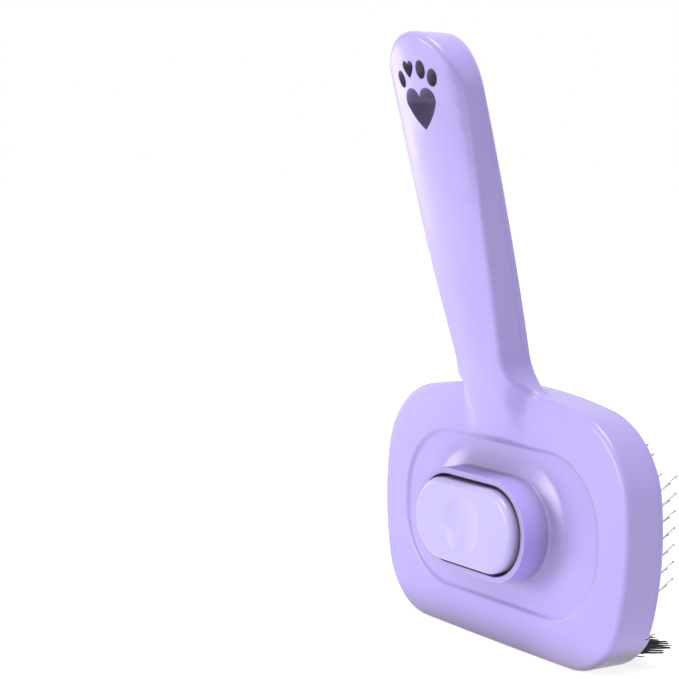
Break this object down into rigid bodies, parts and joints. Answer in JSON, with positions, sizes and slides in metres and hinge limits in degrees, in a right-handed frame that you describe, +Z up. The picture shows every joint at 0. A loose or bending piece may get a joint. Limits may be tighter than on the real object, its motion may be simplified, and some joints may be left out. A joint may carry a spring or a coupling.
{
  "type": "slicker brush",
  "caption": "Pet slicker brush: wide head of bent wire pins, a bristle strip on its edge, a leaning handle and a push button that slides the face plate out.",
  "frame": {"origin": "centre of the bottom of the object's box when the brush stands with its handle up", "axes": "+Z up the brush towards the handle's end, +Y out of the pin side, +X to the right seen from the button side"},
  "size_m": [0.1152, 0.0636, 0.1792],
  "materials": {
    "abs_shell": "satin lavender moulded ABS",
    "abs_button": "satin pale lavender moulded ABS",
    "abs_inner": "dark lavender moulded plastic",
    "steel_pins": "drawn stainless wire",
    "steel_screws": "zinc-plated",
    "spring_steel": "drawn spring wire",
    "nylon_black": "black nylon filament"
  },
  "bodies": {
    "brush_body": {"rear_shell": "abs_shell", "handle_cover": "abs_shell", "tuft_strip": "abs_shell", "pin_carrier": "abs_inner", "pin_backing_plate": "abs_inner", "carrier_screws": "steel_screws", "return_spring_left": "spring_steel", "return_spring_right": "spring_steel", "tufts_row_1": "nylon_black", "tufts_row_2": "nylon_black", "tufts_row_3": "nylon_black", "pins_left_long": "steel_pins", "pins_left_short": "steel_pins", "pins_centre_long": "steel_pins", "pins_centre_short": "steel_pins", "pins_right_long": "steel_pins", "pins_right_short": "steel_pins"},
    "ejector": {"face_plate": "abs_shell", "plunger": "abs_inner", "plunger_screws": "steel_screws", "button_cap": "abs_button"}
  },
  "joints": [
    {"name": "button_press", "type": "slide", "parent": "brush_body", "child": "ejector", "axis": [0, 1, 0], "range_m": [0, 0.007], "stiffness_N_per_m": 700, "springref_m": -0.004, "deforming": ["return_spring_left", "return_spring_right"]}
  ]
}
